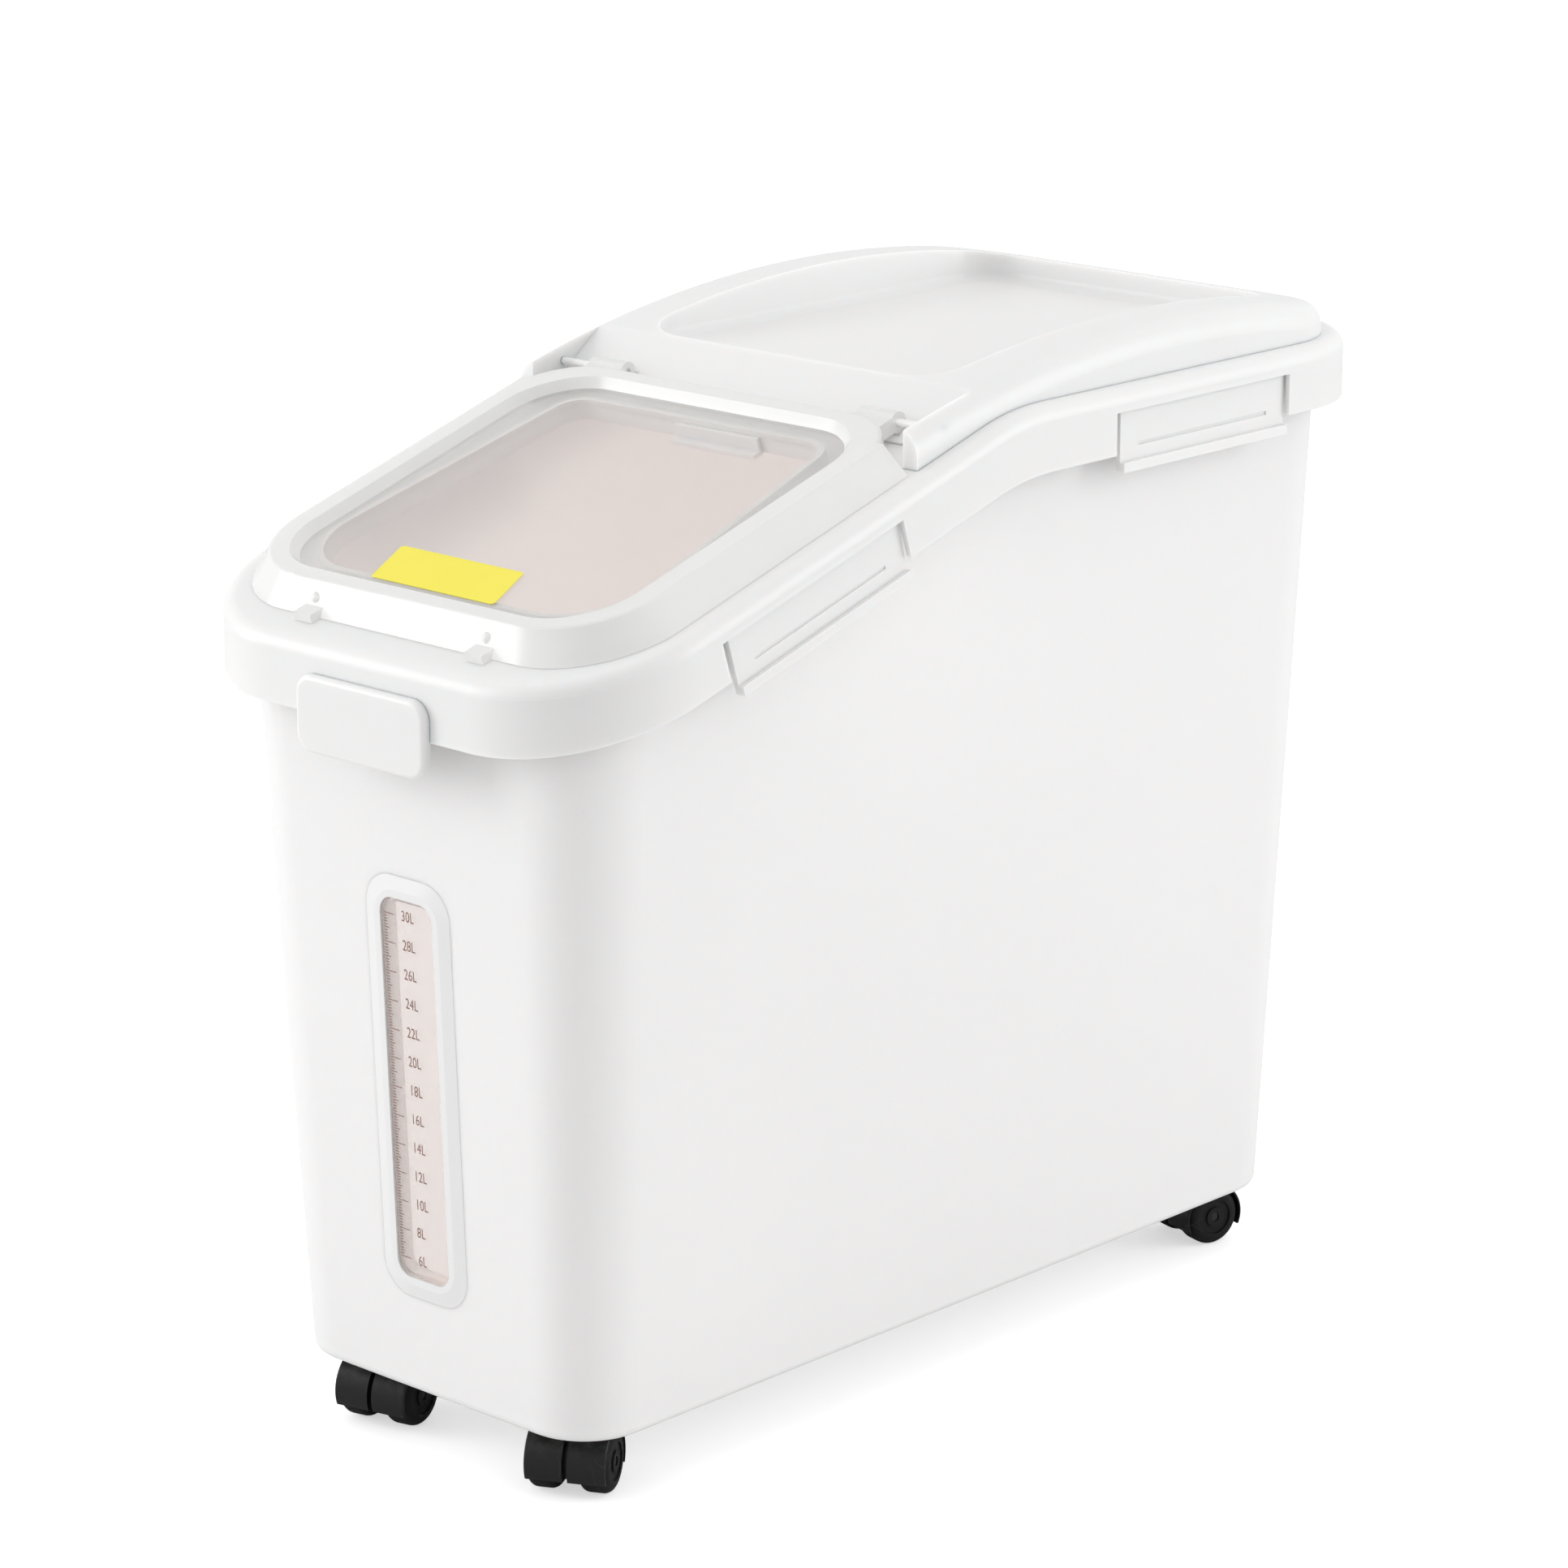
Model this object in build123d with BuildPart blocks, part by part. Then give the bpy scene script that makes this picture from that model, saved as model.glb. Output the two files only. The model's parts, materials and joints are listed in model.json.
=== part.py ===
from build123d import *
import os
from math import cos, hypot, radians, sin, tan

os.makedirs("parts", exist_ok=True)

# Sizes are in millimetres and angles in degrees.
# The floor is z = 0, the front faces -Y and the long axis runs along Y.

# Tub
tub_bottom_half_width = 109.4
tub_bottom_front_y = -271.9
tub_bottom_back_y = 277.9
tub_bottom_corner_radius = 36.0
tub_corner_growth = 0.012
side_draft = 2.64
front_draft = 2.27
back_draft = 1.36
tub_wall = 3.0
tub_floor = 3.0
tub_bottom_edge_radius = 5.0
tub_inner_edge_radius = 6.0
tub_lip_width = 7.0
tub_lip_thickness = 3.5

# Rim line seen from the side: a slope in front, level behind
slope_angle = 17.0
bend_y = 3.0
level_z = 521.0
bend_radius = 150.0

# Margins of the blocks that shape and cut the pieces, well clear of the bin
shaping_margin = 50.0
cut_margin = 1.0

# Lid frame, which hangs over the tub's lip
skirt_side_gap = 7.76
skirt_front_gap = 9.23
skirt_back_gap = 12.6
skirt_corner_radius = 76.0
skirt_depth = 34.0
skirt_wall = 3.0
shelf_thickness = 3.0
rim_edge_radius = 8.0
lid_seat_gap = 0.3
plug_gap = 0.8
plug_wall = 2.5
plug_depth = 9.0
rear_opening_side_margin = 7.0
rear_opening_front_margin = 9.0
rear_opening_back_margin = 14.0
rear_opening_radius = 40.0

# Mouth under the flap, measured along the slope from the bend
mouth_taper = 20.0
mouth_back_v = -80.0
mouth_front_radius = 38.0
mouth_back_radius = 14.0
collar_wall = 3.0
collar_height = 5.5
seal_height = 2.7

# Flap hinge
hinge_v = -46.0
hinge_n = 9.0
hinge_pin_radius = 2.0
hinge_running_gap = 0.08
barrel_radius = 5.5
barrel_inner_x = 82.0
barrel_length = 24.0
hinge_arm_thickness = 8.0
hinge_arm_length = 20.0
hinge_pocket_radius = 7.0
hinge_pocket_end_gap = 1.5
pin_end_gap = 2.0
pin_seat_depth = 7.0

# Clear flap, measured along the slope from the bend and up from the shelf
flap_seat_gap = 0.3
flap_side_setback = 11.5
flap_front_setback = 21.2
flap_side_margin = 26.0
flap_front_margin = 29.0
flap_base_radius = 56.0
flap_side_run = 12.0
flap_front_run = 10.0
flap_top_radius = 48.0
flap_shoulder_v = -79.0
flap_hinge_setback = 9.0
flap_neck_radius = 40.0
flap_height = 16.0
flap_wall = 2.5
flap_edge_radius = 2.0
flap_panel_thickness = 2.5
panel_seal_gap = 0.3
ridge_side_width = 16.0
ridge_front_width = 12.0
ridge_back_width = 14.0
ridge_roof = 2.5
panel_radius = 36.0
panel_slope_run = 4.0
catch_x = 60.0
catch_width = 12.0
catch_reach = 6.0
catch_height = 4.5
bump_radius = 3.0
bump_n = 7.5

# Blank label on the flap, a leaning rectangle
label_half_width = 43.0
label_depth = 31.0
label_lean = 9.0
label_setback = 6.0
label_thickness = 0.3
label_radius = 2.0

# Rear cover
cheek_gap = 3.5
cheek_width = 9.5
cheek_front_gap = 6.25
cover_back_gap = 20.0
cover_back_radius = 55.0
cover_wall = 3.0
cover_edge_radius = 14.0
crown_front_margin = 11.0
crown_front_rise = -4.5
crown_middle_y = 130.0
crown_middle_rise = 27.0
crown_back_margin = 12.0
crown_back_rise = 10.0
ramp_front_gap = 3.0
ramp_foot_n = 1.7
ramp_run = 73.0
ramp_rise = 28.2
tray_side_margin = 37.0
tray_front_y = -13.0
tray_back_margin = 30.0
tray_radius = 26.0
tray_floor_rise = 3.0
tray_draft = 8.0
tray_floor_radius = 6.0

# Scoop hook at the back of the mouth
hook_middle_x = 13.0
hook_width = 57.0
hook_thickness = 2.5
hook_drop = 4.0
hook_lip = 4.5

# Front pull plate on the skirt
pull_half_width = 45.0
pull_height = 39.0
pull_hang = 18.8
pull_stand = 5.0
pull_corner_radius = 10.0
pull_edge_radius = 2.5

# Side clips, measured along the rim from the bend and up from the shelf
front_clip_start_v = -232.0
front_clip_end_v = -99.0
rear_clip_start_v = 71.0
rear_clip_end_v = 213.0
clip_front_gap = 7.0
clip_back_gap = 1.0
clip_face_gap = 0.6
clip_cut_top_n = -12.0
clip_bottom_n = -44.0
clip_thickness = 3.0
clip_lip_height = 5.0
clip_lip_reach = 3.0
clip_crease_n = -31.0
clip_crease_depth = 1.0
clip_crease_width = 2.0
clip_crease_end = 14.0
clip_rib_n = -17.0
clip_rib_height = 3.0
clip_rib_gap = 0.86

# Sight window, measured on the outer face of the front wall
window_z = 200.0
window_half_width = 18.6
window_half_height = 100.0
window_corner_radius = 9.0
frame_border = 11.0
frame_height = 1.6
frame_slope_run = 7.0
frame_outer_radius = 18.0
pane_recess = 1.0
pane_thickness = 2.2
pane_flange_depth = 8.5
pane_flange_wall = 2.0
pane_fit = 0.1
gasket_border = 4.5
gasket_thickness = 2.0

# Casters
caster_side_inset = 43.4
caster_front_inset = 39.9
caster_back_inset = 38.9
caster_trail = 12.0
caster_turns = {"front_left": 14.0, "front_right": 28.0, "back_left": 205.0, "back_right": 165.0}
wheel_radius = 16.5
wheel_thickness = 16.5
wheel_spacing = 27.0
wheel_edge_radius = 5.0
wheel_dish_radius = 10.0
wheel_dish_depth = 1.0
wheel_hub_radius = 5.5
axle_radius = 2.5
axle_running_gap = 0.06
axle_end_inset = 0.6
hood_gap = 0.8
hood_wall = 1.3
hood_top_gap = 1.4
hood_outer_inset = 0.6
hood_edge_radius = 1.0
hood_web_gap = 0.6
hood_groove_half_width = 1.3
hood_groove_depth = 4.5
hood_skirt_drop = 7.0
hood_web_radius = 11.5
swivel_boss_radius = 8.0
swivel_boss_height = 3.4
swivel_gap = 0.3
swivel_neck_radius = 4.6
stem_radius = 3.0
stem_grip = 13.0
stem_end_gap = 1.0
stem_running_gap = 0.06
plate_radius = 22.0
plate_inset = 1.3
plate_thickness = 3.7
plate_fit = 0.2
sleeve_radius = 7.0
sleeve_height = 9.7
well_boss_radius = 27.0
well_boss_roof = 4.0
screw_circle_radius = 15.5
screw_count = 4
screw_head_radius = 3.4
screw_head_height = 2.0
screw_head_fit = 0.1
screw_shank_radius = 1.8
screw_length = 11.2

slope_sin = sin(radians(slope_angle))
slope_cos = cos(radians(slope_angle))
slope_tan = tan(radians(slope_angle))
bend_point = (0, bend_y, level_z)

# The shelf on the slope, the same place seen from the right side, and the level part seen from there
slope_plane = Plane(origin=bend_point, x_dir=(1, 0, 0), z_dir=(0, -slope_sin, slope_cos))
slope_side_plane = Plane(origin=bend_point, x_dir=(0, slope_cos, slope_sin), z_dir=(1, 0, 0))
level_side_plane = Plane(origin=bend_point, x_dir=(0, 1, 0), z_dir=(1, 0, 0))
slope_normal = Axis(bend_point, slope_plane.z_dir)

# Tub and skirt: the tub stands on the casters and the skirt clears the tub's lip
hood_radius = wheel_radius + hood_gap + hood_wall
tub_bottom_z = wheel_radius + hood_radius + hood_top_gap
tub_rise = level_z - tub_bottom_z
blank_top_z = level_z + shaping_margin
tub_rim_half_width = tub_bottom_half_width + tub_rise * tan(radians(side_draft))
tub_rim_back_y = tub_bottom_back_y + tub_rise * tan(radians(back_draft))
front_rim_rise = tub_rise + (tub_bottom_front_y - bend_y) * slope_tan
tub_rim_front_y = tub_bottom_front_y - front_rim_rise * tan(radians(front_draft))
skirt_half_width = tub_rim_half_width + tub_lip_width + skirt_side_gap + skirt_wall
skirt_front_y = tub_rim_front_y - tub_lip_width - skirt_front_gap - skirt_wall
skirt_back_y = tub_rim_back_y + tub_lip_width + skirt_back_gap + skirt_wall

# Shaping blocks: they reach past the skirt on every side, under its lowest edge and over the cover's crown
rim_front_drop = (bend_y - skirt_front_y) * slope_tan
rim_block_low_z = level_z - rim_front_drop - 2 * skirt_depth
rim_block_high_z = level_z + crown_middle_rise + shaping_margin
rim_reach_x = skirt_half_width + shaping_margin
rim_reach_y = max(-skirt_front_y, skirt_back_y) + shaping_margin
rim_reach_z = level_z - rim_block_low_z + shaping_margin

# Flap and mouth: set back from the skirt, with the mouth inside the flap's foot
flap_base_half_width = skirt_half_width - flap_side_setback
flap_base_front_v = (skirt_front_y + flap_front_setback - bend_y) / slope_cos
flap_top_half_width = flap_base_half_width - flap_side_run
flap_top_front_v = flap_base_front_v + flap_front_run
flap_neck_back_v = hinge_v - flap_hinge_setback
flap_panel_bottom = collar_height + seal_height + panel_seal_gap
flap_panel_top = flap_panel_bottom + flap_panel_thickness
ridge_hollow_top = flap_height - ridge_roof
panel_half_width = flap_top_half_width - ridge_side_width
panel_front_v = flap_top_front_v + ridge_front_width
panel_back_v = flap_neck_back_v - ridge_back_width
mouth_front_half_width = flap_base_half_width - flap_side_margin - collar_wall
mouth_back_half_width = mouth_front_half_width - mouth_taper
mouth_front_v = flap_base_front_v + flap_front_margin + collar_wall

# Rear cover: its cheeks stand beside the flap's neck
cheek_inner_x = flap_top_half_width + cheek_gap
cover_half_width = cheek_inner_x + cheek_width
cover_front_y = bend_y + (flap_shoulder_v + cheek_front_gap) * slope_cos
cover_back_y = skirt_back_y - cover_back_gap
crown_front_y = cover_front_y - crown_front_margin
crown_back_y = cover_back_y + crown_back_margin
ramp_front_v = flap_neck_back_v + ramp_front_gap
tray_half_width = cover_half_width - tray_side_margin
tray_back_y = cover_back_y - tray_back_margin
tray_floor_z = level_z + tray_floor_rise
rear_opening_half_width = tray_half_width + cover_wall + rear_opening_side_margin
rear_opening_front_y = tray_front_y - rear_opening_front_margin
rear_opening_back_y = tray_back_y + rear_opening_back_margin
barrel_outer_x = barrel_inner_x + barrel_length
pin_inner_x = barrel_inner_x + pin_end_gap
pin_outer_x = cheek_inner_x + pin_seat_depth

# Side clips: flush behind the skirt, with their ribs just outside the tub's lip
clip_face_x = skirt_half_width - skirt_wall - clip_face_gap
clip_hinge_x = clip_face_x - clip_thickness / 2
clip_rib_inner_x = tub_rim_half_width + tub_lip_width + clip_rib_gap

# Casters: wheel places and the heights of the plate, stem and screws
wheel_inner_x = (wheel_spacing - wheel_thickness) / 2
wheel_outer_x = wheel_inner_x + wheel_thickness
plate_low_z = tub_bottom_z + plate_inset
plate_top_z = plate_low_z + plate_thickness
sleeve_top_z = plate_low_z + sleeve_height
well_boss_top_z = sleeve_top_z + well_boss_roof
swivel_boss_top_z = plate_low_z - swivel_gap
swivel_boss_low_z = swivel_boss_top_z - swivel_boss_height
stem_low_z = swivel_boss_top_z - stem_grip
stem_top_z = sleeve_top_z - stem_end_gap
screw_tip_z = plate_low_z + screw_length
caster_x = tub_bottom_half_width - caster_side_inset
caster_front_y = tub_bottom_front_y + caster_front_inset
caster_back_y = tub_bottom_back_y - caster_back_inset
caster_places = {
    "front_left": (-caster_x, caster_front_y),
    "front_right": (caster_x, caster_front_y),
    "back_left": (-caster_x, caster_back_y),
    "back_right": (caster_x, caster_back_y),
}


def tub_blank(inset, low_z, high_z):
    """Tapered block with the tub's outline drawn in by inset."""
    with BuildPart() as blank:
        for height in (low_z, high_z):
            rise = height - tub_bottom_z
            half_width = tub_bottom_half_width + rise * tan(radians(side_draft)) - inset
            front = tub_bottom_front_y - rise * tan(radians(front_draft)) + inset
            back = tub_bottom_back_y + rise * tan(radians(back_draft)) - inset
            radius = tub_bottom_corner_radius + rise * tub_corner_growth - inset
            with BuildSketch(Plane.XY.offset(height)):
                with Locations((0, (front + back) / 2)):
                    RectangleRounded(2 * half_width, back - front, radius)
        loft(ruled=True)
    return blank.part


def rim_band(top_drop, bottom_drop):
    """Broad band that follows the rim, between two depths below the shelf's top."""
    front_rise = -(rim_reach_y + bend_y) * slope_tan
    with BuildPart() as band:
        with BuildSketch(Plane.YZ) as profile:
            with BuildLine():
                Polyline(
                    (-rim_reach_y, level_z + front_rise - top_drop),
                    (bend_y, level_z - top_drop),
                    (rim_reach_y, level_z - top_drop),
                    (rim_reach_y, level_z - bottom_drop),
                    (bend_y, level_z - bottom_drop),
                    (-rim_reach_y, level_z + front_rise - bottom_drop),
                    close=True,
                )
            make_face()
            fillet(profile.vertices().group_by(Axis.X)[1], bend_radius)
        extrude(amount=rim_reach_x, both=True)
    return band.part


def rim_height(y):
    """Height of the shelf's top at a place along Y."""
    return level_z + min(0, y - bend_y) * slope_tan


def rim_block(inset, top_drop, bottom_drop, edge_radius):
    """Block with the skirt's outline drawn in by inset and a rounded top edge that follows the rim."""
    length = skirt_back_y - skirt_front_y - 2 * inset
    with BuildPart() as block:
        with BuildSketch(Plane.XY.offset(rim_block_low_z)):
            with Locations((0, (skirt_front_y + skirt_back_y) / 2)):
                RectangleRounded(2 * (skirt_half_width - inset), length, skirt_corner_radius - inset)
        extrude(amount=rim_block_high_z - rim_block_low_z)
        add(rim_band(top_drop, bottom_drop), mode=Mode.INTERSECT)
        top_edges = []
        for edge in block.edges():
            middle = edge.center()
            near_top = middle.Z > rim_height(middle.Y) - top_drop - edge_radius / 2
            across_bend = abs(middle.X) < edge_radius and skirt_front_y / 2 < middle.Y < skirt_back_y / 2
            if near_top and not across_bend:
                top_edges.append(edge)
        fillet(top_edges, edge_radius)
    return block.part


def mouth_block(outset, low_n, high_n):
    """Block on the outline of the mouth, swelled by outset."""
    with BuildPart() as block:
        with BuildSketch(slope_plane.offset(low_n)) as outline:
            with BuildLine():
                Polyline(
                    (-mouth_front_half_width, mouth_front_v),
                    (mouth_front_half_width, mouth_front_v),
                    (mouth_back_half_width, mouth_back_v),
                    (-mouth_back_half_width, mouth_back_v),
                    close=True,
                )
            make_face()
            fillet(outline.vertices().group_by(Axis.Y)[0], mouth_front_radius)
            fillet(outline.vertices().group_by(Axis.Y)[-1], mouth_back_radius)
            if outset:
                offset(amount=outset)
        extrude(amount=high_n - low_n)
    return block.part


# Tub: one moulded box with an outward lip, a window opening and a boss over each caster
window_wall_y = tub_bottom_front_y - (window_z - tub_bottom_z) * tan(radians(front_draft))
window_plane = Plane(
    origin=(0, window_wall_y, window_z),
    x_dir=(1, 0, 0),
    z_dir=(0, -cos(radians(front_draft)), -sin(radians(front_draft))),
)
tub_top_drop = shelf_thickness + lid_seat_gap

with BuildPart() as tub_lip:
    add(tub_blank(-tub_lip_width, tub_bottom_z, blank_top_z))
    add(rim_band(tub_top_drop, tub_top_drop + tub_lip_thickness), mode=Mode.INTERSECT)

with BuildPart() as tub_hollow:
    add(tub_blank(tub_wall, tub_bottom_z + tub_floor, blank_top_z))
    fillet(tub_hollow.faces().sort_by(Axis.Z)[0].edges(), tub_inner_edge_radius)

with BuildPart() as tub:
    add(tub_blank(0, tub_bottom_z, blank_top_z))
    fillet(tub.faces().sort_by(Axis.Z)[0].edges(), tub_bottom_edge_radius)
    add(rim_band(-rim_reach_z, tub_top_drop), mode=Mode.SUBTRACT)
    add(tub_lip.part)
    add(tub_hollow.part, mode=Mode.SUBTRACT)
    with BuildSketch(Plane.XY.offset(tub_bottom_z + tub_floor / 2)):
        with Locations(*caster_places.values()):
            Circle(well_boss_radius)
    extrude(amount=well_boss_top_z - tub_bottom_z - tub_floor / 2)
    with BuildSketch(Plane.XY.offset(tub_bottom_z)):
        with Locations(*caster_places.values()):
            Circle(plate_radius + plate_fit)
    extrude(amount=plate_top_z - tub_bottom_z, mode=Mode.SUBTRACT)
    with BuildSketch(Plane.XY.offset(tub_bottom_z)):
        with Locations(*caster_places.values()):
            Circle(sleeve_radius + plate_fit)
    extrude(amount=sleeve_top_z + plate_fit - tub_bottom_z, mode=Mode.SUBTRACT)
    with BuildSketch(Plane.XY.offset(tub_bottom_z)):
        with Locations(*caster_places.values()):
            with PolarLocations(screw_circle_radius, screw_count, start_angle=45):
                Circle(screw_shank_radius)
    extrude(amount=screw_tip_z - tub_bottom_z, mode=Mode.SUBTRACT)
    with BuildSketch(window_plane.offset(-pane_flange_depth)):
        RectangleRounded(2 * window_half_width, 2 * window_half_height, window_corner_radius)
    extrude(amount=pane_flange_depth + frame_height, mode=Mode.SUBTRACT)
tub.part.label = "tub"
export_step(tub.part, "parts/tub.step")

# Window frame: a raised border with sloping sides
with BuildPart() as window_frame:
    with BuildSketch(window_plane):
        RectangleRounded(
            2 * (window_half_width + frame_border),
            2 * (window_half_height + frame_border),
            frame_outer_radius,
        )
    with BuildSketch(window_plane.offset(frame_height)):
        RectangleRounded(
            2 * (window_half_width + frame_border - frame_slope_run),
            2 * (window_half_height + frame_border - frame_slope_run),
            frame_outer_radius - frame_slope_run / 2,
        )
    loft(ruled=True)
    with BuildSketch(window_plane):
        RectangleRounded(2 * window_half_width, 2 * window_half_height, window_corner_radius)
    extrude(amount=frame_height, mode=Mode.SUBTRACT)
window_frame.part.label = "window_frame"
export_step(window_frame.part, "parts/window_frame.step")

# Window pane: a clear plate with a flange that reaches in through the wall
with BuildPart() as window_pane:
    with BuildSketch(window_plane.offset(-pane_flange_depth)):
        RectangleRounded(
            2 * (window_half_width - pane_fit),
            2 * (window_half_height - pane_fit),
            window_corner_radius - pane_fit,
        )
    extrude(amount=pane_flange_depth + frame_height - pane_recess)
    with BuildSketch(window_plane.offset(-pane_flange_depth)):
        RectangleRounded(
            2 * (window_half_width - pane_fit - pane_flange_wall),
            2 * (window_half_height - pane_fit - pane_flange_wall),
            window_corner_radius - pane_fit - pane_flange_wall,
        )
    extrude(amount=pane_flange_depth + frame_height - pane_recess - pane_thickness, mode=Mode.SUBTRACT)
window_pane.part.label = "window_pane"
export_step(window_pane.part, "parts/window_pane.step")

# Window gasket: a rubber ring round the flange, on the inner side of the wall
with BuildPart() as window_gasket:
    with BuildSketch(window_plane.offset(-tub_wall)):
        RectangleRounded(
            2 * (window_half_width + gasket_border),
            2 * (window_half_height + gasket_border),
            window_corner_radius + gasket_border,
        )
        RectangleRounded(
            2 * window_half_width, 2 * window_half_height, window_corner_radius, mode=Mode.SUBTRACT
        )
    extrude(amount=-gasket_thickness)
window_gasket.part.label = "window_gasket"
export_step(window_gasket.part, "parts/window_gasket.step")

# Lid frame: shelf, skirt, mouth collar and the plug that sits inside the tub
clip_runs = {
    "front": (slope_side_plane, front_clip_start_v, front_clip_end_v),
    "rear": (level_side_plane, rear_clip_start_v, rear_clip_end_v),
}

with BuildPart() as lid_plug:
    add(tub_blank(tub_wall + plug_gap, tub_bottom_z, blank_top_z))
    add(tub_blank(tub_wall + plug_gap + plug_wall, tub_bottom_z, blank_top_z), mode=Mode.SUBTRACT)
    add(rim_band(shelf_thickness / 2, shelf_thickness + plug_depth), mode=Mode.INTERSECT)

with BuildPart() as lid_frame:
    add(rim_block(0, 0, skirt_depth, rim_edge_radius))
    add(
        rim_block(skirt_wall, shelf_thickness, 2 * skirt_depth, rim_edge_radius - skirt_wall),
        mode=Mode.SUBTRACT,
    )
    add(lid_plug.part)
    add(mouth_block(collar_wall, -shelf_thickness / 2, collar_height))
    add(mouth_block(0, -shelf_thickness - cut_margin, collar_height), mode=Mode.SUBTRACT)
    with BuildSketch(Plane.XY.offset(rim_block_low_z)):
        with Locations((0, (rear_opening_front_y + rear_opening_back_y) / 2)):
            RectangleRounded(
                2 * rear_opening_half_width,
                rear_opening_back_y - rear_opening_front_y,
                rear_opening_radius,
            )
    extrude(amount=rim_block_high_z - rim_block_low_z, mode=Mode.SUBTRACT)
    for plane, start, end in clip_runs.values():
        with BuildSketch(plane):
            with Locations(((start + end) / 2, clip_cut_top_n)):
                Rectangle(end - start, 2 * skirt_depth, align=(Align.CENTER, Align.MAX))
        extrude(amount=skirt_half_width + cut_margin, both=True, mode=Mode.SUBTRACT)
lid_frame.part.label = "lid_frame"
export_step(lid_frame.part, "parts/lid_frame.step")

# Front pull plate: stands on the skirt's front face and hangs below its edge
pull_bottom_z = rim_height(skirt_front_y) - skirt_depth - pull_hang
with BuildPart() as front_pull:
    with BuildSketch(Plane.XZ.offset(-skirt_front_y)):
        with Locations((0, pull_bottom_z + pull_height / 2)):
            RectangleRounded(2 * pull_half_width, pull_height, pull_corner_radius)
    extrude(amount=pull_stand)
    fillet(front_pull.faces().sort_by(Axis.Y)[0].edges(), pull_edge_radius)
front_pull.part.label = "front_pull"
export_step(front_pull.part, "parts/front_pull.step")


def side_clip(plane, start, end):
    """Right-hand clip: plate with a round hinge edge, a finger lip, a crease and a snap rib."""
    first = start + clip_front_gap
    last = end - clip_back_gap
    middle = (first + last) / 2
    length = last - first
    hinge_end = Plane(
        origin=plane.from_local_coords((first, clip_cut_top_n, clip_hinge_x)),
        x_dir=(1, 0, 0),
        z_dir=plane.x_dir,
    )
    with BuildPart() as clip:
        with BuildSketch(plane.offset(clip_face_x - clip_thickness)):
            with Locations((middle, clip_bottom_n)):
                Rectangle(length, clip_cut_top_n - clip_bottom_n, align=(Align.CENTER, Align.MIN))
        extrude(amount=clip_thickness)
        with BuildSketch(hinge_end):
            Circle(clip_thickness / 2)
        extrude(amount=length)
        with BuildSketch(plane.offset(clip_face_x)):
            with Locations((middle, clip_bottom_n)):
                Rectangle(length, clip_lip_height, align=(Align.CENTER, Align.MIN))
        extrude(amount=clip_lip_reach)
        with BuildSketch(plane.offset(clip_face_x)):
            with Locations((middle, clip_crease_n)):
                Rectangle(length - 2 * clip_crease_end, clip_crease_width)
        extrude(amount=-clip_crease_depth, mode=Mode.SUBTRACT)
        with BuildSketch(plane.offset(clip_rib_inner_x)):
            with Locations((middle, clip_rib_n)):
                Rectangle(length - 2 * clip_crease_end, clip_rib_height, align=(Align.CENTER, Align.MAX))
        extrude(amount=clip_face_x - clip_thickness - clip_rib_inner_x)
    return clip.part


# Side clips: two on each long side
for run_name, (plane, start, end) in clip_runs.items():
    with BuildPart() as right_clip:
        add(side_clip(plane, start, end))
    right_clip.part.label = f"{run_name}_right_clip"
    export_step(right_clip.part, f"parts/{run_name}_right_clip.step")
    with BuildPart() as left_clip:
        mirror(right_clip.part, about=Plane.YZ)
    left_clip.part.label = f"{run_name}_left_clip"
    export_step(left_clip.part, f"parts/{run_name}_left_clip.step")


def crown_region(drop):
    """Everything under the cover's crowned top, lowered by drop."""
    front = (crown_front_y, level_z + crown_front_rise - drop)
    middle = (crown_middle_y, level_z + crown_middle_rise - drop)
    back = (crown_back_y, level_z + crown_back_rise - drop)
    with BuildPart() as region:
        with BuildSketch(Plane.YZ):
            with BuildLine():
                ThreePointArc(front, middle, back)
                Polyline(back, (crown_back_y, rim_block_low_z), (crown_front_y, rim_block_low_z), front)
            make_face()
        extrude(amount=rim_reach_x, both=True)
    return region.part


def cover_block(inset):
    """Upright block on the cover's outline, drawn in by inset."""
    with BuildPart() as block:
        with BuildSketch(Plane.XY.offset(rim_block_low_z)) as outline:
            with Locations((0, (cover_front_y + cover_back_y) / 2)):
                Rectangle(2 * (cover_half_width - inset), cover_back_y - cover_front_y - 2 * inset)
            fillet(outline.vertices().group_by(Axis.Y)[-1], cover_back_radius - inset)
        extrude(amount=rim_block_high_z - rim_block_low_z)
    return block.part


def crowned_block(inset):
    """Block under the cover's crown with its rounded edge, drawn in all round by inset."""
    with BuildPart() as block:
        add(cover_block(inset))
        add(crown_region(inset), mode=Mode.INTERSECT)
        crown_foot_z = level_z + crown_front_rise - inset
        crown_edges = block.edges().filter_by(lambda edge: edge.center().Z > crown_foot_z)
        fillet(crown_edges.sort_by(Axis.Y)[1:], cover_edge_radius - inset)
    return block.part


def ramp_block(half_width, outset):
    """Space over the ramp in front of the cover, where the flap's back edge swings."""
    front = ramp_front_v + outset
    foot = ramp_foot_n - outset
    with BuildPart() as block:
        with BuildSketch(slope_side_plane):
            with BuildLine():
                Polyline(
                    (-rim_reach_y, -rim_reach_z),
                    (front, -rim_reach_z),
                    (front, foot),
                    (front + ramp_run, foot + ramp_rise),
                    (-rim_reach_y, foot + ramp_rise),
                    close=True,
                )
            make_face()
        extrude(amount=half_width, both=True)
    return block.part


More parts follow.
